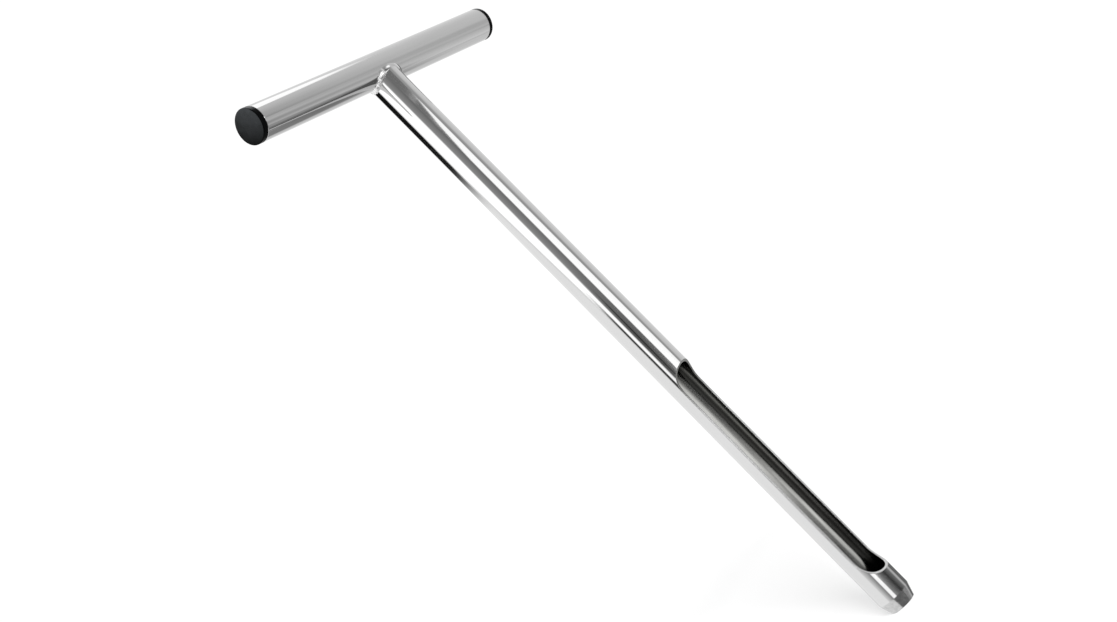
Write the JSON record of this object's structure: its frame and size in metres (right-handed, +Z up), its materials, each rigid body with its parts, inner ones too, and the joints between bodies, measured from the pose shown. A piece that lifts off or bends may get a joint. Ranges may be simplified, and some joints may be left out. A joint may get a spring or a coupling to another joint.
{
  "type": "soil sampling probe",
  "caption": "Hand soil sampling probe: T handle of steel tube with plugged ends, welded to a straight tube with a long side window and a tapered cutting mouth.",
  "frame": {"origin": "centre of the cutting mouth, at the plane of the cutting edge", "axes": "+Z up the probe to the handle, +X along the handle, -Y is the side that the sampling window faces"},
  "size_m": [0.263, 0.0278, 0.5334],
  "materials": {
    "handle_steel": "satin polished stainless steel",
    "probe_steel": "mirror polished stainless steel outside, dull inside",
    "weld_metal": "bright uneven weld metal",
    "plug_plastic": "black moulded plastic, fine matt grain"
  },
  "bodies": {
    "root": {"handle_tube": "handle_steel", "probe_tube": "probe_steel", "weld_bead": "weld_metal", "left_end_plug": "plug_plastic", "right_end_plug": "plug_plastic"}
  },
  "joints": []
}
